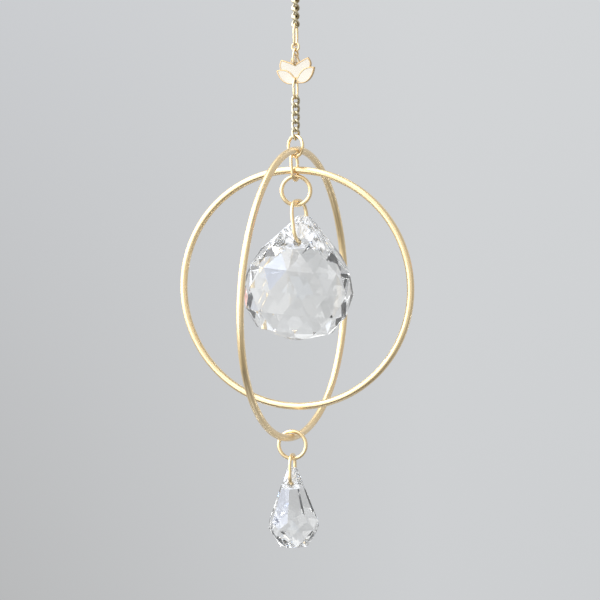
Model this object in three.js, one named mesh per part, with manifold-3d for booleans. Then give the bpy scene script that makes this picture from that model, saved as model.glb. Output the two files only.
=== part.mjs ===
// Crystal suncatcher: two brass hoops of different size hang crosswise on a fine curb chain with a
// lotus charm. A faceted crystal ball hangs in the middle, and a faceted crystal drop below them.
//
// Millimetres, +Z up. The origin is the inner top of the hanging ring, where a hook or nail carries
// the whole, and everything hangs down the Z axis from there. The front faces -Y.
//
// Every loop of wire is closed, and rests on the wire that carries it with a hair of clearance.

import * as THREE from "three";
import { ConvexGeometry } from "three/addons/geometries/ConvexGeometry.js";
import { mergeVertices } from "three/addons/utils/BufferGeometryUtils.js";
import Module from "manifold-3d";

const wasm = await Module();
wasm.setup();

// ---- Driving dimensions ----------------------------------------------------------------------

const CONTACT = 0.14; // clearance between two wires that rest on each other
const HOLE_CONTACT = 0.25; // and between a wire and the edges of a drilled hole

// Curb links: half the width of the wire's centre line, and how far its ends bend out of the flat.
const CHAIN = { wire: 0.74, pitch: 2.17, halfWidth: 0.86, twist: -0.6 };
const CHAIN_HALF_HEIGHT = (CHAIN.pitch + CHAIN.wire + CONTACT) / 2;
const UPPER_LINKS = 32;
const LOWER_LINKS = 5;
const UPPER_CHAIN_YAW = -62;
const LOWER_CHAIN_YAW = 5;

// Oval links: half width and half height of the wire's centre line, and the power of the oval,
// which is 2 for an ellipse and more for a squarer shape. A loop is turned by yaw about the
// vertical through its top, and then leans sideways, with its bottom to the left where positive.
// A bail leans about its stone's hole instead.
const LONG_LINK = { halfWidth: 1.2, halfHeight: 2.93, power: 2.5, wire: 0.68, yaw: 68 };
const SMALL_RING = { radius: 1.08, wire: 0.55, yaw: -30 };
const LOTUS_TOP_RING = { halfWidth: 1.2, halfHeight: 2.26, power: 2, wire: 0.58, yaw: 58 };
const LOTUS_BOTTOM_LINK = { halfWidth: 1.3, halfHeight: 2.65, power: 2.3, wire: 0.65, yaw: 66 };
const HOOP_LINK = { halfWidth: 1.9, halfHeight: 3.85, power: 2.3, wire: 0.85, yaw: 63, lean: -5.6 };
const BALL_BAIL = { halfWidth: 4.9, halfHeight: 5.67, power: 3, wire: 1, yaw: 66, lean: -7 };
const DROP_BAIL = { halfWidth: 3, halfHeight: 3.98, power: 3, wire: 0.9, yaw: 76, lean: 0 };

// Round rings: radius of the wire's centre line.
const HANGING_RING = { radius: 6.4, wire: 1.4, yaw: -80 };
const CHAIN_RING = { radius: 1.98, wire: 0.8, yaw: 5 };
const TOP_RING = { radius: 2.77, wire: 0.88, yaw: -46 };
const BALL_RING = { radius: 3.85, wire: 1.1, yaw: 0 };
const DROP_RING = { radius: 3.68, wire: 1, yaw: -10 };

// The large hoop was bent by hand and isn't quite flat: its top is turned by twist degrees from
// its middle, and its bottom as far the other way.
const LARGE_HOOP = { radius: 38.55, wire: 1.95, yaw: 68.9, lean: 0.97, twist: 1.55 };
const SMALL_HOOP = { radius: 31.7, wire: 1.95, yaw: -16.3, twist: 0 };

// The top ring carries the hoop link and the large hoop side by side, each this far along the
// ring from its lowest point. The ball's bail hangs a little along the ball's ring too.
const HOOP_LINK_ALONG = -0.9;
const LARGE_HOOP_ALONG = 0.65;
const BALL_BAIL_ALONG = 0.45;

const LOTUS = { thickness: 1, step: 0.15, yaw: -20, lean: 5, topHole: 0.75, bottomHole: 0.72 };
const LOTUS_HOLE_SPACING = 3.51;

// Turn is how far a stone's facets stand round from its neck.
const BALL = { folds: 12, turn: -6, lean: 5.5, hole: 1.2, neckFlat: 3.3, neckNotch: 4.9, ledge: 11.7 };
const BALL_RADIUS = 15;
// Rings of corners from the ball's centre: height, radius, and whether the ring is turned half a facet.
const BALL_RINGS = [
  { height: 20.1, radius: 1.7, turned: false },
  { height: 12.7, radius: 8.7, turned: true },
  { height: 10.4, radius: 10.8, turned: false },
  { height: 6.2, radius: 13.75, turned: true },
  { height: 0.4, radius: BALL_RADIUS, turned: false },
  { height: -5.6, radius: 13.9, turned: true },
  { height: -10.6, radius: 10.2, turned: false },
  { height: -13.1, radius: 2.4, turned: true },
  { height: -13.5, radius: 0, turned: false },
];

const DROP = { folds: 8, turn: 0, lean: -2, hole: 0.95, neckFlat: 2, neckNotch: 5, ledge: 5.4 };
// Rings of corners below the drop's top.
const DROP_RINGS = [
  { depth: 0, radius: 1.4, turned: false },
  { depth: 14.1, radius: 6.7, turned: false },
  { depth: 16, radius: 6.85, turned: true },
  { depth: 18.8, radius: 5.45, turned: false },
  { depth: 21.1, radius: 3.8, turned: true },
];

// Sides of a wire and steps round a loop.
const HOOP_MESH = { sides: 8, steps: 56 };
const HANGING_RING_MESH = { sides: 8, steps: 24 };
const RING_MESH = { sides: 8, steps: 20 };
const OVAL_MESH = { sides: 6, steps: 20 };
const BAIL_MESH = { sides: 6, steps: 24 };
const SMALL_RING_MESH = { sides: 6, steps: 16 };
const LINK_MESH = { sides: 6, steps: 8 };
const HOLE_SIDES = 12;
const PETAL_STEPS = 5;

// ---- Materials -------------------------------------------------------------------------------

const BRASS = { color: 0xe3c078, metalness: 1, roughness: 0.35 };
const SILVERY_GOLD = { color: 0xd9cfae, metalness: 1, roughness: 0.3 };
const CRYSTAL = {
  color: 0xf4f8fb,
  metalness: 0,
  roughness: 0.02,
  transparent: true,
  opacity: 0.35,
};

// ---- Wire loops ------------------------------------------------------------------------------

const radians = THREE.MathUtils.degToRad;

// A closed oval in the XZ plane.
class OvalCurve extends THREE.Curve {
  constructor({ halfWidth, halfHeight, power }) {
    super();
    Object.assign(this, { halfWidth, halfHeight, power });
  }
  getPoint(t, target = new THREE.Vector3()) {
    const angle = t * Math.PI * 2;
    const bulge = (value) => Math.sign(value) * Math.abs(value) ** (2 / this.power);
    return target.set(
      this.halfWidth * bulge(Math.cos(angle)),
      0,
      this.halfHeight * bulge(Math.sin(angle)),
    );
  }
}

// A closed circle about Y whose plane turns about Z as it rises.
class HoopCurve extends THREE.Curve {
  constructor({ radius, twist = 0 }) {
    super();
    Object.assign(this, { radius, twist: radians(twist) });
  }
  getPoint(t, target = new THREE.Vector3()) {
    const angle = t * Math.PI * 2;
    const reach = this.radius * Math.cos(angle);
    const turn = this.twist * Math.sin(angle);
    return target.set(
      reach * Math.cos(turn),
      reach * Math.sin(turn),
      this.radius * Math.sin(angle),
    );
  }
}

// A curb link: an oval whose two ends are turned opposite ways, so that the chain lies flat.
class CurbCurve extends THREE.Curve {
  getPoint(t, target = new THREE.Vector3()) {
    const angle = t * Math.PI * 2;
    return target.set(
      CHAIN.halfWidth * Math.cos(angle),
      CHAIN.twist * Math.sin(2 * angle),
      CHAIN_HALF_HEIGHT * Math.sin(angle),
    );
  }
}

function loopOfWire(curve, wire, { sides, steps }) {
  return new THREE.TubeGeometry(curve, steps, wire / 2, sides, true);
}

// How far an oval's centre line has risen above its lowest point, at a distance from its middle.
function riseOfOval({ halfWidth, halfHeight, power }, distance) {
  const share = Math.abs(distance / halfWidth) ** power;
  return halfHeight * (1 - (1 - share) ** (1 / power));
}

// ---- The group and what hangs on what --------------------------------------------------------

const suncatcher = new THREE.Group();

function addPiece(name, geometry, finish, parent = suncatcher) {
  const mesh = new THREE.Mesh(geometry, new THREE.MeshStandardMaterial(finish));
  mesh.name = name;
  parent.add(mesh);
  return mesh;
}

// A seat is a place on a wire that carries another: the middle of the wire there, and the wire's
// thickness. The next wire's middle comes above it.
function restOn(seat, wire) {
  return new THREE.Vector3(seat.x, seat.y, seat.z + (seat.wire + wire) / 2 + CONTACT);
}

// The seat of a wire inside a round ring, at a distance along the ring from its lowest point.
function seatAlong(lowest, { radius, yaw }, wire, distance) {
  const x = lowest.x + distance * Math.cos(radians(yaw));
  const y = lowest.y + distance * Math.sin(radians(yaw));
  const reach = radius - (lowest.wire + wire) / 2 - CONTACT;
  const z = lowest.z + reach - Math.sqrt(reach ** 2 - distance ** 2);
  return { x, y, z, wire: lowest.wire };
}

// Hangs a loop of wire on a seat, and gives the seat that its own lowest point makes.
function hangLoop(name, curve, loop, mesh, finish, seat) {
  const { halfHeight, wire, yaw, lean = 0 } = loop;
  const geometry = loopOfWire(curve, wire, mesh).translate(0, 0, -halfHeight);
  const piece = addPiece(name, geometry, finish);
  piece.position.copy(restOn(seat, wire));
  piece.rotation.set(0, radians(lean), radians(yaw), "XYZ");
  piece.updateMatrix();
  const { x, y, z } = new THREE.Vector3(0, 0, -2 * halfHeight).applyMatrix4(piece.matrix);
  return { x, y, z, wire };
}

function hangOval(name, oval, seat) {
  return hangLoop(name, new OvalCurve(oval), oval, OVAL_MESH, BRASS, seat);
}

function hangRing(name, ring, mesh, seat) {
  const loop = { ...ring, halfHeight: ring.radius };
  return hangLoop(name, new HoopCurve(ring), loop, mesh, BRASS, seat);
}

function hangChain(prefix, count, yaw, seat) {
  const loop = { halfHeight: CHAIN_HALF_HEIGHT, wire: CHAIN.wire, yaw };
  let last = seat;
  for (let i = 1; i <= count; i++) {
    const name = prefix + String(i).padStart(2, "0");
    last = hangLoop(name, new CurbCurve(), loop, LINK_MESH, SILVERY_GOLD, last);
  }
  return last;
}

// ---- Solids to join and cut ------------------------------------------------------------------

function solidOf(geometry) {
  const bare = geometry.clone();
  bare.deleteAttribute("normal");
  bare.deleteAttribute("uv");
  const merged = mergeVertices(bare, 1e-4);
  const vertProperties = merged.attributes.position.array;
  const triVerts = new Uint32Array(merged.index.array);
  return new wasm.Manifold(new wasm.Mesh({ numProp: 3, vertProperties, triVerts }));
}

function geometryOf(solid) {
  const mesh = solid.getMesh();
  const geometry = new THREE.BufferGeometry();
  geometry.setAttribute("position", new THREE.BufferAttribute(mesh.vertProperties, 3));
  geometry.setIndex(new THREE.BufferAttribute(mesh.triVerts, 1));
  return geometry;
}

// A round bar along Y.
function barAlongY(radius, length, x, z) {
  return solidOf(
    new THREE.CylinderGeometry(radius, radius, length, HOLE_SIDES)
      .rotateY(Math.PI / HOLE_SIDES)
      .translate(x, 0, z),
  );
}

function block(low, high) {
  const size = new THREE.Vector3().subVectors(high, low);
  const middle = new THREE.Vector3().addVectors(low, high).multiplyScalar(0.5);
  return solidOf(
    new THREE.BoxGeometry(size.x, size.y, size.z).translate(middle.x, middle.y, middle.z),
  );
}

// The height of a drilled hole's middle above the lowest point of the oval that carries it, where
// the hole's two upper edges rest on the oval's wire.
function holeAboveOval(oval, holeRadius, halfLength) {
  return riseOfOval(oval, halfLength) + oval.wire / 2 + HOLE_CONTACT - holeRadius;
}

// ---- Lotus charm -----------------------------------------------------------------------------
// A stamped plate of five petals. The origin is the middle of its top hole. Its bottom hole is a
// little off its axis, so that it leans with the two holes in line. Side is -1 or 1.

function lowerPetal(side) {
  const petal = new THREE.Shape();
  petal.moveTo(-side * 0.9, -4.4);
  petal.bezierCurveTo(side * 2.6, -6.1, side * 4.9, -3.8, side * 5.4, -0.94);
  petal.quadraticCurveTo(side * 2.2, -0.18, side * 0.5, -3.1);
  return petal;
}

function middlePetal(side) {
  const petal = new THREE.Shape();
  petal.moveTo(side * 0.2, -3.4);
  petal.quadraticCurveTo(side * 6.2, -1.4, side * 3.8, 1.8);
  petal.quadraticCurveTo(side * 1.6, 1.1, 0, 0.1);
  return petal;
}

function centrePetal() {
  const petal = new THREE.Shape();
  petal.moveTo(0, -4.6);
  petal.bezierCurveTo(2.6, -0.6, 1.1, 2.1, 0, 3.35);
  petal.bezierCurveTo(-1.1, 2.1, -2.6, -0.6, 0, -4.6);
  return petal;
}

// The plate's back is flat, and each layer of petals stands one step lower than the one before it.
function petalSolid(shape, layer) {
  const depth = LOTUS.thickness - layer * LOTUS.step;
  const plate = new THREE.ExtrudeGeometry(shape, {
    depth,
    bevelEnabled: false,
    curveSegments: PETAL_STEPS,
  });
  return solidOf(plate.rotateX(Math.PI / 2).translate(0, LOTUS.thickness / 2, 0));
}

function lotusGeometry() {
  const petals = [
    petalSolid(lowerPetal(-1), 0),
    petalSolid(lowerPetal(1), 0),
    petalSolid(middlePetal(-1), 1),
    petalSolid(middlePetal(1), 1),
    petalSolid(centrePetal(), 2),
  ];
  const through = 3 * LOTUS.thickness;
  const lean = radians(LOTUS.lean);
  const x = -LOTUS_HOLE_SPACING * Math.sin(lean);
  const z = -LOTUS_HOLE_SPACING * Math.cos(lean);
  const plate = petals.reduce((joined, petal) => joined.add(petal));
  const drilled = plate
    .subtract(barAlongY(LOTUS.topHole, through, 0, 0))
    .subtract(barAlongY(LOTUS.bottomHole, through, x, z));
  return geometryOf(drilled);
}

function hangLotus(seat) {
  const half = LOTUS.thickness / 2;
  const top = seat.z + holeAboveOval(LOTUS_TOP_RING, LOTUS.topHole, half);
  const charm = addPiece("lotus_charm", lotusGeometry(), BRASS);
  charm.position.set(seat.x, seat.y, top);
  charm.rotation.set(0, radians(-LOTUS.lean), radians(LOTUS.yaw), "ZYX");
  const lip = top - LOTUS_HOLE_SPACING - LOTUS.bottomHole;
  const z = lip + riseOfOval(LOTUS_BOTTOM_LINK, half) + HOLE_CONTACT - CONTACT;
  return { x: seat.x, y: seat.y, z, wire: 0 };
}

// ---- Crystals --------------------------------------------------------------------------------

// Corners of a cut stone about the Z axis, as rings of equal folds.
function stoneCorners(rings, { folds, turn }, heightOf) {
  const corners = [];
  for (const ring of rings) {
    for (let i = 0; i < folds; i++) {
      const step = (i + (ring.turned ? 0.5 : 0)) / folds;
      const angle = step * Math.PI * 2 - Math.PI / 2 + radians(turn);
      const corner = new THREE.Vector3(
        ring.radius * Math.cos(angle),
        ring.radius * Math.sin(angle),
        heightOf(ring),
      );
      corners.push(corner);
      if (ring.radius === 0) break;
    }
  }
  return corners;
}

// Grinds a flat on the neck's front and back, down to a ledge, and drills the hole between them.
// The stone is moved so that the hole's middle is at the origin.
function drillNeck(stone, { neckFlat, neckNotch, hole }, ledge) {
  const far = 4 * neckNotch; // well past the stone's outside
  const holeHeight = ledge + hole + HOLE_CONTACT;
  const front = block(
    new THREE.Vector3(-neckNotch, -far, ledge),
    new THREE.Vector3(neckNotch, -neckFlat, ledge + far),
  );
  const back = block(
    new THREE.Vector3(-neckNotch, neckFlat, ledge),
    new THREE.Vector3(neckNotch, far, ledge + far),
  );
  const drilled = stone
    .subtract(front)
    .subtract(back)
    .subtract(barAlongY(hole, far, 0, holeHeight));
  return geometryOf(drilled).translate(0, 0, -holeHeight);
}

// Hangs a bail on a seat, and a stone on the bail by its drilled neck. Each may lean about the
// hole's axis. The stone's geometry has the middle of its hole at the origin.
function hangStone(bailName, bail, stoneName, stone, stoneGeometry, seat) {
  const loop = loopOfWire(new OvalCurve(bail), bail.wire, BAIL_MESH);
  const wire = addPiece(bailName, loop.translate(0, 0, -bail.halfHeight), BRASS);
  wire.position.copy(restOn(seat, bail.wire));
  wire.rotation.set(radians(bail.lean), 0, radians(bail.yaw), "ZYX");
  wire.updateMatrix();
  const hang = 2 * bail.halfHeight - holeAboveOval(bail, stone.hole, stone.neckFlat);
  const crystal = addPiece(stoneName, stoneGeometry, CRYSTAL);
  crystal.position.set(0, 0, -hang).applyMatrix4(wire.matrix);
  crystal.rotation.set(0, radians(stone.lean), radians(bail.yaw - 90), "ZYX");
}

// ---- The pieces, from the top down -----------------------------------------------------------

function hangingRing() {
  const { radius, wire, yaw } = HANGING_RING;
  const geometry = loopOfWire(new HoopCurve(HANGING_RING), wire, HANGING_RING_MESH);
  const ring = addPiece("hanging_ring", geometry, BRASS);
  const middle = wire / 2 - radius;
  ring.position.set(0, 0, middle);
  ring.rotation.z = radians(yaw);
  return { x: 0, y: 0, z: middle - radius, wire };
}

function lotusAndChains() {
  const top = hangRing("chain_top_ring", CHAIN_RING, SMALL_RING_MESH, hangingRing());
  const upper = hangChain("upper_chain_link_", UPPER_LINKS, UPPER_CHAIN_YAW, top);
  const long = hangOval("long_link", LONG_LINK, upper);
  const small = hangRing("small_ring", SMALL_RING, SMALL_RING_MESH, long);
  const lotus = hangLotus(hangOval("lotus_top_ring", LOTUS_TOP_RING, small));
  const bottom = hangOval("lotus_bottom_link", LOTUS_BOTTOM_LINK, lotus);
  return hangChain("lower_chain_link_", LOWER_LINKS, LOWER_CHAIN_YAW, bottom);
}

// The top ring carries the large hoop and the hoop link, and the link carries the ball's ring,
// which the small hoop lies on inside the link.
function hoopsAndRings(chainEnd) {
  const topRing = hangRing("top_ring", TOP_RING, RING_MESH, chainEnd);
  const hoopPlace = seatAlong(topRing, TOP_RING, LARGE_HOOP.wire, LARGE_HOOP_ALONG);
  const linkPlace = seatAlong(topRing, TOP_RING, HOOP_LINK.wire, HOOP_LINK_ALONG);
  const largeHoop = hangRing("large_hoop", LARGE_HOOP, HOOP_MESH, hoopPlace);
  const link = hangOval("hoop_link", HOOP_LINK, linkPlace);
  const ballRing = hangRing("ball_ring", BALL_RING, RING_MESH, link);
  const { x, y, z } = restOn(link, BALL_RING.wire);
  hangRing("small_hoop", SMALL_HOOP, HOOP_MESH, { x, y, z, wire: BALL_RING.wire });
  return { largeHoop, ballRing };
}

function ballGeometry() {
  const corners = stoneCorners(BALL_RINGS, BALL, (ring) => ring.height);
  return drillNeck(solidOf(new ConvexGeometry(corners)), BALL, BALL.ledge);
}

function dropGeometry() {
  const corners = stoneCorners(DROP_RINGS, DROP, (ring) => -ring.depth);
  return drillNeck(solidOf(new ConvexGeometry(corners)), DROP, -DROP.ledge);
}

function ballAndBail(ballRing) {
  const seat = seatAlong(ballRing, BALL_RING, BALL_BAIL.wire, BALL_BAIL_ALONG);
  hangStone("ball_bail", BALL_BAIL, "crystal_ball", BALL, ballGeometry(), seat);
}

function dropAndRings(largeHoop) {
  const seat = hangRing("drop_ring", DROP_RING, RING_MESH, largeHoop);
  hangStone("drop_bail", DROP_BAIL, "crystal_drop", DROP, dropGeometry(), seat);
}

const { largeHoop, ballRing } = hoopsAndRings(lotusAndChains());
ballAndBail(ballRing);
dropAndRings(largeHoop);

export default suncatcher;
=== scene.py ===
"""The looks of the crystal suncatcher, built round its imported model.

Wires are swept along their centre lines by Geometry Nodes and chains are built from one link. The
charm and the cut stones are refined meshes. Metres throughout, except where a name says mm.
"""

import math
import random

import bmesh
import bpy
import numpy as np
from mathutils import Matrix, Vector
from mathutils.geometry import tessellate_polygon


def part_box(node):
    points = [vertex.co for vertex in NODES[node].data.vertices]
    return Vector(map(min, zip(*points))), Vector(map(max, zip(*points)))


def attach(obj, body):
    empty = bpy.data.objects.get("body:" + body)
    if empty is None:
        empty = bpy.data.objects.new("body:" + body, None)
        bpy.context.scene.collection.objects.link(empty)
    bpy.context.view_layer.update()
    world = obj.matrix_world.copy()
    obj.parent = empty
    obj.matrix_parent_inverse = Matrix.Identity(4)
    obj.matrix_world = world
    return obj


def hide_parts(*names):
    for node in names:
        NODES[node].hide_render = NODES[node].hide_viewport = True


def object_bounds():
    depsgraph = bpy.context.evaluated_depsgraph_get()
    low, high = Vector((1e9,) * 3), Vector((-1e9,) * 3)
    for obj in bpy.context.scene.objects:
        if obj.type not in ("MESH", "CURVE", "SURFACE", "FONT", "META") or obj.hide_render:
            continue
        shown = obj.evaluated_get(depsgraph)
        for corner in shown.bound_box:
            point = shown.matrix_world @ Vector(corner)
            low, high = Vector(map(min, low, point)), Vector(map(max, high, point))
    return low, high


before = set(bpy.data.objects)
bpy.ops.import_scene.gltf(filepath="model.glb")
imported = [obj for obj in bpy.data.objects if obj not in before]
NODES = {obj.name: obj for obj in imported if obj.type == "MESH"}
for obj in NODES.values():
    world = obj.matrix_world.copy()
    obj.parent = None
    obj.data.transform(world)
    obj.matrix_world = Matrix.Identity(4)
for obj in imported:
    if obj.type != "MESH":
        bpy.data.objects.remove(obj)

cad_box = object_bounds()

MM = 0.001
BODY = "root"

# ---- Sizes in millimetres --------------------------------------------------------------------

# Loops of wire: the wire's thickness, the power of the oval (2 for an ellipse, more for a squarer
# shape), and where the loop is cut, in degrees round it from its right side. Its two ends miss each
# other sideways by the last figure.
LOOPS = {
    "hanging_ring": {"wire": 1.4, "power": 2, "cut": 262, "miss": 0.12},
    "chain_top_ring": {"wire": 0.8, "power": 2, "cut": 20, "miss": 0.08},
    "long_link": {"wire": 0.68, "power": 2.5, "cut": 178, "miss": 0.06},
    "small_ring": {"wire": 0.55, "power": 2, "cut": 205, "miss": 0.05},
    "lotus_top_ring": {"wire": 0.58, "power": 2, "cut": 8, "miss": 0.05},
    "lotus_bottom_link": {"wire": 0.65, "power": 2.3, "cut": 176, "miss": 0.16},
    "top_ring": {"wire": 0.88, "power": 2, "cut": 292, "miss": 0.1},
    "hoop_link": {"wire": 0.85, "power": 2.3, "cut": 4, "miss": 0.08},
    "ball_ring": {"wire": 1.1, "power": 2, "cut": 35, "miss": 0.14},
    "ball_bail": {"wire": 1, "power": 3, "cut": 84, "miss": 0.1},
    "drop_ring": {"wire": 1, "power": 2, "cut": 160, "miss": 0.12},
    "drop_bail": {"wire": 0.9, "power": 3, "cut": 97, "miss": 0.08},
}
CUT_WIDTH = 0.05  # between a loop's two ends

# Hoops: the wire's thickness, and how far the hoop's plane turns from its middle to its top, in
# degrees, because a bent hoop is never quite flat.
HOOPS = {
    "large_hoop": {"wire": 1.95, "twist": 1.55},
    "small_hoop": {"wire": 1.95, "twist": 0},
}

# Chains: the number of links, and how far they are turned about the chain, in degrees. Each link
# turns up to the sway further or less.
CHAINS = {
    "upper_chain": {"links": 32, "yaw": -62},
    "lower_chain": {"links": 5, "yaw": 5},
}
CHAIN_SWAY = 2

# One curb link, measured to the centre of its wire: its bend is how far it leaves its own plane, and
# its point is the power of its oval across (2 for an ellipse, less for more pointed ends).
CHAIN_LINK = {"wire": 0.74, "half_width": 0.86, "half_height": 1.525, "bend": -0.6, "point": 1.25}

LOTUS = {
    "yaw": -20,  # of the whole charm, in degrees, as is its lean
    "lean": 5,
    "back": 0.5,  # behind the plate's middle
    "step": 0.15,  # from each layer of petals back to the next
    "back_step": 0.01,  # between the backs of two layers, so that no two share a plane
    "round": 0.14,  # radius of the stamped edge
    "back_round": 0.3,  # the back's edge, as a share of that
    "rim": 0.27,  # width of the raised rim
    "sink": 0.08,  # depth of the face inside it
    "top_hole": 0.75,
    "bottom_hole": 0.72,
    "hole_spacing": 3.51,
}
SHARPEST_CORNER = 0.34  # least cosine of half a corner's turn, which keeps a moved corner near it
THINNEST_TRIANGLE = 1e-14  # twice its area in square metres, below which a cap leaves it out

# Stones: the loop of wire through the hole, the hole's radius, and the height of the neck, which has
# small chipped facets.
STONES = {
    "crystal_ball": {"bail": "ball_bail", "hole": 1.2, "neck": 8.6},
    "crystal_drop": {"bail": "drop_bail", "hole": 0.95, "neck": 5.6},
}
FACET_EDGE = 0.05  # width of the polished arris between two facets
FACET_JOIN = 0.001  # corners nearer than this are one
FACET_FLAT = 0.4  # degrees, below which two faces are one facet
CHIP_SMALLEST = 0.8  # side of the smallest face that is chipped
CHIP_DEPTH = 0.12
CHIP_CLEAR = 1.1  # of the hole's radius, inside which nothing is pressed in
HOLE_EDGE = 1.15  # of the hole's radius, inside which the stone is left ground
GROUND_SHARE = 0.6  # of the neck's small facets
SORT_STEP = 0.0001  # places nearer than this sort alike

LOOP_STEPS = 120
HOOP_STEPS = 480
LINK_STEPS = 40
WIRE_SIDES = 36
HOOP_SIDES = 64
LINK_SIDES = 16
WIRE_CREASE = 50  # degrees, above which an edge stays sharp
CHARM_CREASE = 35

# ---- Nodes -----------------------------------------------------------------------------------


def add(tree, kind, inputs=(), **settings):
    """A node with its settings, and its inputs as values or as the sockets that feed them."""
    node = tree.nodes.new(kind)
    for name, value in settings.items():
        setattr(node, name, value)
    for name, value in dict(inputs).items():
        if isinstance(value, bpy.types.NodeSocket):
            tree.links.new(value, node.inputs[name])
        else:
            node.inputs[name].default_value = value
    return node


def linear(hex_colour):
    """An sRGB hex colour as linear red, green, blue and alpha."""
    channels = [int(hex_colour[i : i + 2], 16) / 255 for i in (1, 3, 5)]
    return [c / 12.92 if c <= 0.04045 else ((c + 0.055) / 1.055) ** 2.4 for c in channels] + [1]


def blend(tree, factor, first, second):
    """The output of two colours mixed by a factor. Each is a hex colour or a socket."""
    # Input 0 of a Mix node is its factor, and 6, 7 and output 2 are its colours.
    colours = [linear(c) if isinstance(c, str) else c for c in (first, second)]
    mix = add(tree, "ShaderNodeMix", data_type="RGBA")
    for index, value in ((0, factor), (6, colours[0]), (7, colours[1])):
        if isinstance(value, bpy.types.NodeSocket):
            tree.links.new(value, mix.inputs[index])
        else:
            mix.inputs[index].default_value = value
    return mix.outputs[2]


# ---- Materials -------------------------------------------------------------------------------


def new_material(name):
    material = bpy.data.materials.new(name)
    material.use_nodes = True
    tree = material.node_tree
    tree.nodes.clear()
    return material, tree


# Patterns, in millimetres. The lines that the drawing die leaves are finer than the grain here, which
# is as coarse as it needs to be to show.
WIRE_WAVE = {"length": 6.0, "height": 0.3, "strength": 0.15}
WIRE_GRAIN = {"length": 0.12, "height": 0.01, "strength": 0.03}
FACET_WAVE = {"length": 4, "height": 0.1, "strength": 0.08}


def plated_wire(name, pale, deep, roughness):
    """Gold-coloured plating over drawn brass wire, under a clear lacquer.

    The plating is satin: the drawing die leaves fine lines along the wire, which widen each
    highlight across it, and bending leaves the wire slightly uneven, so highlights break up.
    """
    material, tree = new_material(name)
    place = add(tree, "ShaderNodeTexCoord").outputs["Object"]
    uneven = add(tree, "ShaderNodeTexNoise", {
        "Vector": place, "Scale": 1 / (WIRE_WAVE["length"] * MM), "Detail": 2,
    })
    grain = add(tree, "ShaderNodeTexNoise", {
        "Vector": place, "Scale": 1 / (WIRE_GRAIN["length"] * MM), "Detail": 2,
    })
    tone = blend(tree, uneven.outputs["Fac"], pale, deep)
    # The plating is a fifth smoother where it is rubbed and a quarter rougher where it isn't.
    rough = add(tree, "ShaderNodeMapRange", {
        "Value": uneven.outputs["Fac"], "From Min": 0.3, "From Max": 0.7,
        "To Min": roughness * 0.8, "To Max": roughness * 1.25,
    })
    wave = add(tree, "ShaderNodeBump", {
        "Height": uneven.outputs["Fac"], "Strength": WIRE_WAVE["strength"],
        "Distance": WIRE_WAVE["height"] * MM,
    })
    fine = add(tree, "ShaderNodeBump", {
        "Height": grain.outputs["Fac"], "Strength": WIRE_GRAIN["strength"],
        "Distance": WIRE_GRAIN["height"] * MM, "Normal": wave.outputs["Normal"],
    })
    shader = add(tree, "ShaderNodeBsdfPrincipled", {
        "Base Color": tone, "Metallic": 1.0, "Roughness": rough.outputs["Result"],
        "Normal": fine.outputs["Normal"], "Coat Weight": 0.6, "Coat Roughness": 0.2, "Coat IOR": 1.5,
        "Coat Normal": wave.outputs["Normal"],
    })
    add(tree, "ShaderNodeOutputMaterial", {"Surface": shader.outputs["BSDF"]})
    return material


def cut_crystal(name, roughness, clearness):
    """Clear lead crystal, ground and then polished, or left as ground where it was drilled.

    The wheel leaves a polished facet very slightly wavy.
    """
    material, tree = new_material(name)
    place = add(tree, "ShaderNodeTexCoord").outputs["Object"]
    wave = add(tree, "ShaderNodeTexNoise", {
        "Vector": place, "Scale": 1 / (FACET_WAVE["length"] * MM), "Detail": 1,
    })
    face = add(tree, "ShaderNodeBump", {
        "Height": wave.outputs["Fac"], "Strength": FACET_WAVE["strength"],
        "Distance": FACET_WAVE["height"] * MM,
    })
    shader = add(tree, "ShaderNodeBsdfPrincipled", {
        "Base Color": linear("#FAFCFD"), "Metallic": 0.0, "Roughness": roughness, "IOR": 1.56,
        "Transmission Weight": clearness, "Normal": face.outputs["Normal"],
    })
    add(tree, "ShaderNodeOutputMaterial", {"Surface": shader.outputs["BSDF"]})
    return material


# ---- Wire ------------------------------------------------------------------------------------


def start_tree(name, sizes):
    """A new tree with an input for each of sizes, and its inputs' sockets."""
    tree = bpy.data.node_groups.new(name, "GeometryNodeTree")
    for label, kind in {"Geometry": "Geometry", **sizes, "Material": "Material"}.items():
        tree.interface.new_socket(label, in_out="INPUT", socket_type="NodeSocket" + kind)
    tree.interface.new_socket("Geometry", in_out="OUTPUT", socket_type="NodeSocketGeometry")
    return tree, add(tree, "NodeGroupInput").outputs


def end_tree(tree, geometry, material):
    """Makes the geometry real and gives it its material."""
    real = add(tree, "GeometryNodeRealizeInstances", {"Geometry": geometry})
    made = add(tree, "GeometryNodeSetMaterial", {
        "Geometry": real.outputs["Geometry"], "Material": material,
    })
    add(tree, "NodeGroupOutput", {"Geometry": made.outputs["Geometry"]})
    return tree


def wire_tree():
    """Sweeps a round wire along the modifier's own edges."""
    tree, given = start_tree("wire along a path", {"Wire Radius": "Float", "Sides": "Int"})
    path = add(tree, "GeometryNodeMeshToCurve", {"Mesh": given["Geometry"]})
    section = add(tree, "GeometryNodeCurvePrimitiveCircle", {
        "Resolution": given["Sides"], "Radius": given["Wire Radius"],
    })
    tube = add(tree, "GeometryNodeCurveToMesh", {
        "Curve": path.outputs["Curve"], "Profile Curve": section.outputs["Curve"], "Fill Caps": True,
    })
    return end_tree(tree, tube.outputs["Mesh"], given["Material"])


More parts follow.
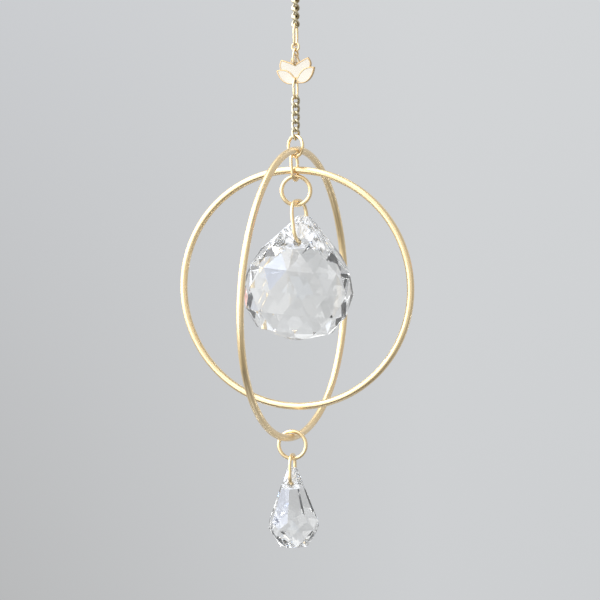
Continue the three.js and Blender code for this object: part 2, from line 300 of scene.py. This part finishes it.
def chain_tree():
    """Puts one link of wire on each of the modifier's own points."""
    tree, given = start_tree("links of a chain", {
        "Link Path": "Object", "Wire Radius": "Float", "Sides": "Int", "Yaw": "Float", "Sway": "Float",
        "Seed": "Int",
    })
    path = add(tree, "GeometryNodeObjectInfo", {"Object": given["Link Path"]})
    line = add(tree, "GeometryNodeMeshToCurve", {"Mesh": path.outputs["Geometry"]})
    section = add(tree, "GeometryNodeCurvePrimitiveCircle", {
        "Resolution": given["Sides"], "Radius": given["Wire Radius"],
    })
    link = add(tree, "GeometryNodeCurveToMesh", {
        "Curve": line.outputs["Curve"], "Profile Curve": section.outputs["Curve"],
    })
    low = add(tree, "ShaderNodeMath", {0: given["Yaw"], 1: given["Sway"]}, operation="SUBTRACT")
    high = add(tree, "ShaderNodeMath", {0: given["Yaw"], 1: given["Sway"]}, operation="ADD")
    # Inputs 2 and 3 are the least and most of a random number, and output 1 is the number.
    turn = add(tree, "FunctionNodeRandomValue", {
        2: low.outputs[0], 3: high.outputs[0], "Seed": given["Seed"],
    }, data_type="FLOAT")
    spin = add(tree, "ShaderNodeCombineXYZ", {"Z": turn.outputs[1]})
    links = add(tree, "GeometryNodeInstanceOnPoints", {
        "Points": given["Geometry"], "Instance": link.outputs["Mesh"], "Rotation": spin.outputs["Vector"],
    })
    return end_tree(tree, links.outputs["Instances"], given["Material"])


def new_object(name, mesh):
    piece = bpy.data.objects.new(name, mesh)
    bpy.context.scene.collection.objects.link(piece)
    return piece


def lines(name, points, closed):
    """An object of edges through the points."""
    count = len(points)
    edges = [(i, (i + 1) % count) for i in range(count if closed else count - 1)]
    mesh = bpy.data.meshes.new(name)
    mesh.from_pydata(points, edges, [])
    return new_object(name, mesh)


def grow(name, source, tree, sizes):
    """The plain mesh that a tree makes of source, as a finished piece. Source is used up."""
    modifier = source.modifiers.new(tree.name, "NODES")
    modifier.node_group = tree
    for item in tree.interface.items_tree:
        if item.in_out == "INPUT" and item.name in sizes:
            modifier[item.identifier] = sizes[item.name]
    evaluated = source.evaluated_get(bpy.context.evaluated_depsgraph_get())
    mesh = bpy.data.meshes.new_from_object(evaluated)
    mesh.name = name
    mesh.shade_smooth()
    mesh.set_sharp_from_angle(angle=math.radians(WIRE_CREASE))
    bpy.data.objects.remove(source)
    return new_object(name, mesh)


def finish_piece(piece, slot, *nodes):
    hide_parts(*nodes)
    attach(piece, BODY)
    return piece


def plane_of(node):
    """A loop's middle, its directions to the right, to the back and up, and its half sizes.

    Up is along an oval, and as near to upright as the plane allows in a round ring.
    """
    points = np.array([v.co for v in NODES[node].data.vertices])
    sizes, axes = np.linalg.eigh(np.cov((points - points.mean(0)).T))
    back = Vector(axes[:, 0])
    if back.y < 0:
        back.negate()
    if sizes[2] > 1.1 * sizes[1]:
        up = Vector(axes[:, 2])
        if up.z < 0:
            up.negate()
    else:
        up = (Vector((0, 0, 1)) - back * back.z).normalized()
    right = back.cross(up)
    along = points @ np.array([right, back, up]).T
    low, high = along.min(0), along.max(0)
    half = (high - low) / 2
    centre = (high + low) / 2
    middle = right * centre[0] + back * centre[1] + up * centre[2]
    return middle, right, back, up, half


def bulge(value, power):
    """A sine or cosine for an oval of this power: 2 leaves it alone, and more squares the oval."""
    return math.copysign(abs(value) ** (2 / power), value)


def loop_points(node, wire, power, cut, miss):
    """Points round a cut loop, from one end of its wire to the other."""
    middle, right, back, up, half = plane_of(node)
    width, height = half[0] - wire / 2, half[2] - wire / 2
    gap = CUT_WIDTH * MM / min(width, height)
    points = []
    for i in range(LOOP_STEPS + 1):
        share = i / LOOP_STEPS
        angle = math.radians(cut) + gap / 2 + share * (math.tau - gap)
        x = width * bulge(math.cos(angle), power)
        z = height * bulge(math.sin(angle), power)
        points.append(middle + right * x + up * z + back * miss * (share - 0.5))
    return points


def hoop_points(node, wire, twist):
    """Points round a hoop whose plane turns by twist from its middle to its top."""
    middle, right, back, up, half = plane_of(node)
    radius = half[2] - wire / 2
    points = []
    for i in range(HOOP_STEPS):
        angle = i / HOOP_STEPS * math.tau
        reach = radius * math.cos(angle)
        turn = math.radians(twist) * math.sin(angle)
        side = right * math.cos(turn) + back * math.sin(turn)
        points.append(middle + side * reach + up * radius * math.sin(angle))
    return points


def make_loops(tree, material):
    for node, loop in LOOPS.items():
        points = loop_points(node, loop["wire"] * MM, loop["power"], loop["cut"], loop["miss"] * MM)
        source = lines(node + "_path", points, closed=False)
        sizes = {"Wire Radius": loop["wire"] * MM / 2, "Sides": WIRE_SIDES, "Material": material}
        finish_piece(grow(node + "_wire", source, tree, sizes), "brass_wire", node)


def make_hoops(tree, material):
    for node, hoop in HOOPS.items():
        source = lines(node + "_path", hoop_points(node, hoop["wire"] * MM, hoop["twist"]), closed=True)
        sizes = {"Wire Radius": hoop["wire"] * MM / 2, "Sides": HOOP_SIDES, "Material": material}
        finish_piece(grow(node + "_wire", source, tree, sizes), "brass_wire", node)


def link_path():
    """The centre line of one curb link: a pointed oval, bent like a saddle to lie along the next."""
    points = []
    for i in range(LINK_STEPS):
        angle = i / LINK_STEPS * math.tau
        x = CHAIN_LINK["half_width"] * bulge(math.cos(angle), CHAIN_LINK["point"])
        y = CHAIN_LINK["bend"] * math.sin(2 * angle)
        z = CHAIN_LINK["half_height"] * math.sin(angle)
        points.append(Vector((x, y, z)) * MM)
    return lines("link_path", points, closed=True)


def make_chains(material):
    tree = chain_tree()
    path = link_path()
    for seed, (name, chain) in enumerate(CHAINS.items()):
        nodes = [f"{name}_link_{i:02d}" for i in range(1, chain["links"] + 1)]
        middles = [(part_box(node)[0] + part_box(node)[1]) / 2 for node in nodes]
        sizes = {
            "Link Path": path,
            "Wire Radius": CHAIN_LINK["wire"] * MM / 2,
            "Sides": LINK_SIDES,
            "Yaw": math.radians(chain["yaw"]),
            "Sway": math.radians(CHAIN_SWAY),
            "Seed": seed,
            "Material": material,
        }
        piece = grow(name, lines(name + "_points", middles, closed=False), tree, sizes)
        finish_piece(piece, "silvery_chain", *nodes)
    bpy.data.objects.remove(path)


# ---- Lotus charm -----------------------------------------------------------------------------

# The petals' outlines are in millimetres from the middle of the charm's top hole, to the right and up.


def bezier(*controls, steps=22):
    """Points along a curve of any number of control points, without its last point."""
    points = []
    for i in range(steps):
        t = i / steps
        level = [Vector(c) for c in controls]
        while len(level) > 1:
            level = [a.lerp(b, t) for a, b in zip(level, level[1:])]
        points.append(level[0])
    return points


def lower_outline(side):
    """A lower petal, counter-clockwise in the charm's own plane, on side -1 or 1."""
    outline = bezier((-0.9, -4.4), (2.6, -6.1), (4.9, -3.8), (5.4, -0.94))
    outline += bezier((5.4, -0.94), (2.2, -0.18), (0.5, -3.1))
    outline += bezier((0.5, -3.1), (-0.9, -4.4), steps=6)
    return outline if side > 0 else mirrored(outline)


def mirrored(outline):
    """The outline on the charm's other side, still counter-clockwise."""
    return [Vector((-p.x, p.y)) for p in reversed(outline)]


def middle_outline():
    """Both middle petals, which are stamped as one V."""
    right = bezier((0, -3.5), (6.2, -1.4), (3.8, 1.8)) + bezier((3.8, 1.8), (1.6, 1.1), (0, 0.1))
    return right + mirrored(right[1:] + [Vector((0, 0.1))])


def centre_outline():
    """The centre petal, in front of the others, with both holes."""
    right = bezier((0, -4.6), (2.6, -0.6), (1.1, 2.1), (0, 3.35), steps=32)
    return right + mirrored(right[1:] + [Vector((0, 3.35))])


def hole_outline(x, y, radius, steps=40):
    """A round hole, clockwise."""
    angles = [-i / steps * math.tau for i in range(steps)]
    return [Vector((x + radius * math.cos(a), y + radius * math.sin(a))) for a in angles]


def moved_in(outline, distance):
    """The outline moved to its left side by a distance, its corners kept sharp."""
    count = len(outline)
    moved = []
    for i, point in enumerate(outline):
        before = (point - outline[i - 1]).normalized()
        after = (outline[(i + 1) % count] - point).normalized()
        left = Vector((-before.y, before.x)) + Vector((-after.y, after.x))
        left.normalize()
        reach = max(left.dot(Vector((-before.y, before.x))), SHARPEST_CORNER)
        moved.append(point + left * distance / reach)
    return moved


def edge_profile(front, back):
    """Steps from a plate's back to its face: how far in, and how deep."""
    r, rim, sink = LOTUS["round"], LOTUS["rim"], LOTUS["sink"]
    bevel = LOTUS["back_round"] * r
    curve = [math.radians(a) for a in (0, 22.5, 45, 67.5, 90)]
    steps = [(bevel, back), (0, back - bevel)]
    steps += [(r * (1 - math.cos(a)), front + r * (1 - math.sin(a))) for a in curve]
    return steps + [(rim, front), (rim + sink, front + sink)]


def add_edge(form, loop, profile):
    """The edge of a plate or a hole, and its first and last rows of corners."""
    rows = []
    for inward, depth in profile:
        rows.append([form.verts.new((p.x * MM, depth * MM, p.y * MM)) for p in moved_in(loop, inward)])
    count = len(loop)
    for low, high in zip(rows, rows[1:]):
        for i in range(count):
            j = (i + 1) % count
            # The strip down into the sunk face takes the pale painted highlight, the rest the deeper
            # painted shade.
            form.faces.new((low[i], low[j], high[j], high[i])).material_index = int(high is rows[-1])
    return rows[0], rows[-1]


def add_cap(form, loops, front):
    """A flat face inside the first loop and outside the others, which looks to the front or back."""
    verts = [v for loop in loops for v in loop]
    flat = [[Vector((v.co.x, v.co.z, 0)) for v in loop] for loop in loops]
    for corners in tessellate_polygon(flat):
        a, b, c = (verts[k] for k in corners)
        across = (b.co - a.co).cross(c.co - a.co)
        if across.length < THINNEST_TRIANGLE:
            continue
        right_way = (across.y < 0) == front
        face = form.faces.new((a, b, c) if right_way else (a, c, b))
        # The front takes the pale painted highlight, the back the deeper painted shade.
        face.material_index = int(front)


def add_plate(form, outline, holes, front, back):
    """One stamped plate with a rounded edge and a raised rim, round its holes too."""
    profile = edge_profile(front, back)
    edges = [add_edge(form, loop, profile) for loop in (outline, *holes)]
    add_cap(form, [last for _, last in edges], True)
    add_cap(form, [first for first, _ in edges], False)


def add_petals(form):
    """Five petals in three layers, with the back of each layer its own."""
    lean = math.radians(LOTUS["lean"])
    spacing = LOTUS["hole_spacing"]
    top = hole_outline(0, 0, LOTUS["top_hole"])
    bottom = hole_outline(-spacing * math.sin(lean), -spacing * math.cos(lean), LOTUS["bottom_hole"])
    back, step, back_step = LOTUS["back"], LOTUS["step"], LOTUS["back_step"]
    for side in (-1, 1):
        add_plate(form, lower_outline(side), [], -back, back)
    add_plate(form, middle_outline(), [], -back + step, back - back_step)
    add_plate(form, centre_outline(), [top, bottom], -back + 2 * step, back - 2 * back_step)


def make_charm(rim, face):
    """The lotus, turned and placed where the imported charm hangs."""
    form = bmesh.new()
    add_petals(form)
    mesh = bpy.data.meshes.new("lotus_petals")
    form.to_mesh(mesh)
    form.free()
    yaw, lean = math.radians(LOTUS["yaw"]), math.radians(LOTUS["lean"])
    mesh.transform(Matrix.Rotation(yaw, 4, "Z") @ Matrix.Rotation(-lean, 4, "Y"))
    corners = np.array([v.co for v in mesh.vertices])
    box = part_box("lotus_charm")
    shift = (box[0] + box[1]) / 2 - Vector((corners.min(0) + corners.max(0)) / 2)
    mesh.transform(Matrix.Translation(shift))
    mesh.shade_smooth()
    mesh.set_sharp_from_angle(angle=math.radians(CHARM_CREASE))
    # The first material goes on the rims, edges and back as painted shade, the second on the sunk faces as
    # painted highlight.
    mesh.materials.append(rim)
    mesh.materials.append(face)
    finish_piece(new_object("lotus_petals", mesh), "brass_wire", "lotus_charm")


# ---- Crystals --------------------------------------------------------------------------------


def joined_facets(node):
    """The stone's solid with its triangles joined into facets, and an arris along every edge."""
    form = bmesh.new()
    form.from_mesh(NODES[node].data)
    bmesh.ops.remove_doubles(form, verts=form.verts, dist=FACET_JOIN * MM)
    flat = math.radians(FACET_FLAT)
    bmesh.ops.dissolve_limit(form, angle_limit=flat, verts=form.verts, edges=form.edges)
    bmesh.ops.bevel(
        form, geom=form.edges[:], offset=FACET_EDGE * MM, segments=1, affect="EDGES", clamp_overlap=True
    )
    form.normal_update()
    return form


def from_hole(point, seat, along):
    """How far a point is from the middle line of the hole."""
    away = point - seat
    return (away - along * away.dot(along)).length


def by_place(element):
    """What to sort a corner or a face by: its place, so that random draws fall the same each time."""
    point = element.co if isinstance(element, bmesh.types.BMVert) else element.calc_center_median()
    return [round(c / (SORT_STEP * MM)) for c in point]


def chip(form, faces, seat, along, clear):
    """Breaks faces into small facets, pressed in by different amounts away from the hole."""
    faces = bmesh.ops.triangulate(form, faces=faces)["faces"]
    edges = list(dict.fromkeys(edge for face in faces for edge in face.edges))
    parts = bmesh.ops.subdivide_edges(form, edges=edges, cuts=2, use_grid_fill=True)
    draw = random.Random(7)
    inner = [v for v in parts["geom_inner"] if isinstance(v, bmesh.types.BMVert)]
    for vert in sorted(inner, key=by_place):
        if from_hole(vert.co, seat, along) > clear:
            vert.co -= vert.normal * draw.random() * CHIP_DEPTH * MM


def make_stone(node, stone, polished, ground):
    """A cut stone: polished facets, a chipped neck, and a hole left as it was ground."""
    form = joined_facets(node)
    middle, along, _, up, half = plane_of(stone["bail"])
    seat = middle - up * (half[2] - LOOPS[stone["bail"]]["wire"] * MM)
    radius = stone["hole"] * MM
    shoulder = max(v.co.z for v in form.verts) - stone["neck"] * MM
    neck = [
        face
        for face in form.faces
        if face.calc_center_median().z > shoulder and face.calc_area() > (CHIP_SMALLEST * MM) ** 2
    ]
    chip(form, neck, seat, along, radius * CHIP_CLEAR)
    draw = random.Random(3)
    for face in sorted(form.faces, key=by_place):
        centre = face.calc_center_median()
        drilled = from_hole(centre, seat, along) < radius * HOLE_EDGE
        chipped = centre.z > shoulder and draw.random() < GROUND_SHARE
        face.material_index = int(drilled or chipped)
        face.smooth = False
    form.normal_update()
    mesh = bpy.data.meshes.new(node + "_stone")
    form.to_mesh(mesh)
    form.free()
    mesh.materials.append(polished)
    mesh.materials.append(ground)
    finish_piece(new_object(node + "_stone", mesh), "crystal", node)


# ---- Studio ----------------------------------------------------------------------------------

# The camera: how far off it is, how many degrees it looks down, its lens and sensor in millimetres,
# and the point it looks at, right of the hanging line and below the hanging ring's inner top.
VIEW_DISTANCE = 0.8
VIEW_ELEVATION = 3.2
VIEW_LENS = 179
SENSOR = 36
VIEW_ASIDE = 1.2 * MM
VIEW_DEPTH = -157.2 * MM
VIEW_FARTHEST = 20

FLOOR_RADIUS = 0.35
FLOOR_DROP = 0.7  # below the drop's tip
FLOOR_SIDES = 96


def make_camera():
    camera = bpy.data.objects.new("camera", bpy.data.cameras.new("camera"))
    bpy.context.scene.collection.objects.link(camera)
    camera.data.lens = VIEW_LENS
    camera.data.sensor_width = SENSOR
    camera.data.clip_end = VIEW_FARTHEST
    rise = math.radians(VIEW_ELEVATION)
    towards = Vector((0, -math.cos(rise), math.sin(rise)))
    camera.location = Vector((VIEW_ASIDE, 0, VIEW_DEPTH)) + towards * VIEW_DISTANCE
    camera.rotation_euler = (math.pi / 2 - rise, 0, 0)
    bpy.context.scene.camera = camera


def make_floor():
    """A round pale floor well below the drop."""
    bpy.ops.mesh.primitive_circle_add(vertices=FLOOR_SIDES, radius=FLOOR_RADIUS, fill_type="NGON")
    floor = bpy.context.object
    floor.name = "floor"
    floor.location = (0, 0, cad_box[0].z - FLOOR_DROP)
    material, tree = new_material("pale matt paper")
    shader = add(tree, "ShaderNodeBsdfPrincipled", {"Base Color": linear("#ABACAE"), "Roughness": 0.9})
    add(tree, "ShaderNodeOutputMaterial", {"Surface": shader.outputs["BSDF"]})
    floor.data.materials.append(material)


# The pale wall behind: its colours at the left and right, low down and high up, and the parts of a
# direction's X and Z between which they change. It covers the room within a radius and a soft edge.
WALL = {"left low": "#B9BABB", "right low": "#CDCFD1", "left high": "#CBCDD0", "right high": "#D3D5D7"}
WALL_ACROSS = (-0.1, 0.04)
WALL_RISE = (-0.155, 0.044)
WALL_RADIUS, WALL_EDGE = 11, 6

# The rest of the room: soft pale clouds of this brightness, plus what the room is brighter by at its
# front and back, which changes between two parts of a direction's Y, and low down and high up.
CLOUDS = {"Scale": 5.0, "Detail": 3, "Roughness": 0.65}
CLOUD_BRIGHTNESS = 0.56
ROOM_DEPTH = (-0.3, 0.2)
ROOM_FRONT, ROOM_BACK = 0.17, 0.37
ROOM_LOW, ROOM_HIGH = -0.1, 0.04

# Soft lights that the camera doesn't see, placed round the object's middle: azimuth (0 in front, 90
# at the right), elevation and radius in degrees, then brightness and colour, and whether it shows
# through the stones.
LAMP_DISTANCE = 2.2
LAMPS = [
    ("large soft light at the left", -98, 16, 32, 2.1, "#FFFDFA", False),
    ("soft light high in front", -32, 46, 28, 2.3, "#FFFDFA", True),
    ("soft light low in front", -52, -4, 28, 1.95, "#FFFDFA", True),
    ("faint fill in front", 16, 8, 34, 0.5, "#FFFDF8", True),
    ("soft light above", -104, 66, 25, 2.2, "#FFFDFA", True),
]

# Small windows, lamps and dark things in the room: azimuth, elevation, radius and soft edge in
# degrees, then brightness and colour.
WINDOWS = [
    ("pale blue sky", -72, 50, 12, 4, 4.2, "#93BAFF"),
    ("pale blue curtain", -69, 25, 13, 4, 2.6, "#9FBCFF"),
    ("window behind on the left", -132, 34, 9, 3, 0.6, "#F2F6FF"),
    ("high pale wall behind", -168, 46, 10, 5, 0.55, "#FFFFFF"),
    ("high window on the right", 32, 62, 10, 4, 1.2, "#FFFFFF"),
    ("window behind on the right", 140, 30, 8, 3, 0.5, "#F2F6FF"),
    ("right window", 66, 12, 8, 3, 0.5, "#F4F7FF"),
    ("warm lamp", 100, 13, 4, 2, 1.8, "#FF7A30"),
    ("small lamp above", 160, 38, 2.2, 1, 9, "#FFF4E0"),
    ("small lamp at the left", -128, 8, 1.8, 1, 9, "#FFFFFF"),
    ("small lamp at the right", 120, -14, 1.8, 1, 9, "#FFFFFF"),
    ("small lamp below", -150, -48, 2.2, 1, 9, "#FFFFFF"),
    ("small lamp overhead", 40, 70, 2.5, 1, 9, "#FFFFFF"),
    ("blue glow", 128, 14, 4, 2, 0.35, "#6F9CFF"),
]
SHADES = [
    ("dark door", -112, -8, 6, 2, 0.9, "#1F1C18"),
    ("dark shelf", 108, 4, 5, 2, 0.5, "#3A3732"),
    ("dark picture", 168, -36, 3, 2, 0.5, "#4A4438"),
    ("floor", -20, -78, 38, 20, 0.8, "#4F4A44"),
]


def direction(azimuth, elevation):
    """The direction of something seen from the object. Azimuth 0 is in front, 90 at the right."""
    a, e = math.radians(azimuth), math.radians(elevation)
    return Vector((math.sin(a) * math.cos(e), -math.cos(a) * math.cos(e), math.sin(e)))


def make_lamps():
    """The soft lights, each as bright as a glowing disk of its size."""
    middle = Vector((0, 0, VIEW_DEPTH))
    for name, azimuth, elevation, radius, brightness, colour, through in LAMPS:
        lamp = bpy.data.lights.new(name, "AREA")
        lamp.shape = "DISK"
        lamp.size = 2 * LAMP_DISTANCE * math.tan(math.radians(radius))
        lamp.color = linear(colour)[:3]
        lamp.energy = brightness * math.pi ** 2 * (lamp.size / 2) ** 2
        holder = bpy.data.objects.new(name, lamp)
        away = direction(azimuth, elevation)
        holder.location = middle + away * LAMP_DISTANCE
        holder.rotation_euler = away.to_track_quat("Z", "Y").to_euler()
        holder.visible_camera = False
        holder.visible_transmission = through
        bpy.context.scene.collection.objects.link(holder)


def patch(tree, look, azimuth, elevation, radius, edge, strength):
    """A round soft-edged mask in the world, as strong as strength in its middle."""
    towards = direction(azimuth, elevation)
    near = add(tree, "ShaderNodeVectorMath", {0: look, 1: towards}, operation="DOT_PRODUCT")
    return add(tree, "ShaderNodeMapRange", {
        "Value": near.outputs["Value"],
        "From Min": math.cos(math.radians(radius + edge / 2)),
        "From Max": math.cos(math.radians(max(radius - edge / 2, 0))),
        "To Min": 0.0, "To Max": strength,
    }, interpolation_type="SMOOTHSTEP").outputs["Result"]


def wall_colour(tree, where):
    """The wall, lighter at the right and higher up."""
    across = add(tree, "ShaderNodeMapRange", {
        "Value": where["X"], "From Min": WALL_ACROSS[0], "From Max": WALL_ACROSS[1],
    }).outputs["Result"]
    rise = add(tree, "ShaderNodeMapRange", {
        "Value": where["Z"], "From Min": WALL_RISE[0], "From Max": WALL_RISE[1],
    }).outputs["Result"]
    low = blend(tree, across, WALL["left low"], WALL["right low"])
    high = blend(tree, across, WALL["left high"], WALL["right high"])
    return blend(tree, rise, low, high)


def room_colour(tree, look, where):
    """Clouds, dimmer in front and below, with the dark things and then the bright ones on them."""
    tone = add(tree, "ShaderNodeTexNoise", {"Vector": look, **CLOUDS}).outputs["Fac"]
    lift = add(tree, "ShaderNodeMapRange", {
        "Value": where["Z"], "From Min": -1.0, "From Max": 1.0, "To Min": ROOM_LOW, "To Max": ROOM_HIGH,
    }).outputs["Result"]
    depth = add(tree, "ShaderNodeMapRange", {
        "Value": where["Y"], "From Min": ROOM_DEPTH[0], "From Max": ROOM_DEPTH[1],
        "To Min": ROOM_FRONT, "To Max": ROOM_BACK,
    }, interpolation_type="SMOOTHSTEP").outputs["Result"]
    base = add(tree, "ShaderNodeMath", {0: depth, 1: lift}, operation="ADD").outputs[0]
    level = add(tree, "ShaderNodeMath", {
        0: tone, 1: CLOUD_BRIGHTNESS, 2: base,
    }, operation="MULTIPLY_ADD").outputs[0]
    room = add(tree, "ShaderNodeCombineXYZ", {"X": level, "Y": level, "Z": level}).outputs["Vector"]
    for _, azimuth, elevation, radius, edge, strength, colour in SHADES:
        room = blend(tree, patch(tree, look, azimuth, elevation, radius, edge, strength), room, colour)
    for _, azimuth, elevation, radius, edge, strength, colour in WINDOWS:
        mask = patch(tree, look, azimuth, elevation, radius, edge, strength)
        glow = add(tree, "ShaderNodeVectorMath", {0: linear(colour)[:3], "Scale": mask}, operation="SCALE")
        room = add(tree, "ShaderNodeVectorMath", {0: room, 1: glow.outputs[0]}, operation="ADD").outputs[0]
    return room


def make_world():
    """A pale wall behind the object and a room of low contrast round the rest."""
    world = bpy.data.worlds.new("studio")
    bpy.context.scene.world = world
    world.use_nodes = True
    tree = world.node_tree
    tree.nodes.clear()
    look = add(tree, "ShaderNodeTexCoord").outputs["Generated"]
    where = add(tree, "ShaderNodeSeparateXYZ", {"Vector": look}).outputs
    covered = patch(tree, look, 180, -VIEW_ELEVATION, WALL_RADIUS, WALL_EDGE, 1.0)
    colour = blend(tree, covered, room_colour(tree, look, where), wall_colour(tree, where))
    background = add(tree, "ShaderNodeBackground", {"Color": colour, "Strength": 1.0})
    add(tree, "ShaderNodeOutputWorld", {"Surface": background.outputs["Background"]})


# ---- The whole -------------------------------------------------------------------------------


def main():
    bpy.context.scene.view_settings.view_transform = "Standard"
    make_camera()
    make_floor()
    make_world()
    make_lamps()
    # The rings and hoops: warm satin gold, with soft broken highlights along the wire.
    gold = plated_wire("satin gold-plated brass wire", "#F5DFB4", "#EDD3A0", 0.32)
    # The chain: thin pale plating, rubbed smooth, so that each link has its own small sparkle.
    silvery = plated_wire("pale gold-plated brass chain", "#CEC4A8", "#B9AE8C", 0.14)
    # The charm's sunk faces: pale, even and greyish, a painted highlight. Its rims, edges and back are a
    #     # duller, deeper gold, which is painted shade.
    charm = plated_wire("pale gold-plated brass, painted highlight", "#B8B4AC", "#B1ADA2", 0.36)
    rim = plated_wire("deeper gold-plated brass, painted shade", "#CDB183", "#BC9F70", 0.35)
    # The stones: clear facets, and a misty hole and neck where the wheel's marks are left.
    polished = cut_crystal("polished lead crystal", 0.0, 0.955)
    ground = cut_crystal("ground lead crystal", 0.25, 0.35)
    wire = wire_tree()
    make_loops(wire, gold)
    make_hoops(wire, gold)
    make_chains(silvery)
    make_charm(rim, charm)
    for node, stone in STONES.items():
        make_stone(node, stone, polished, ground)


main()
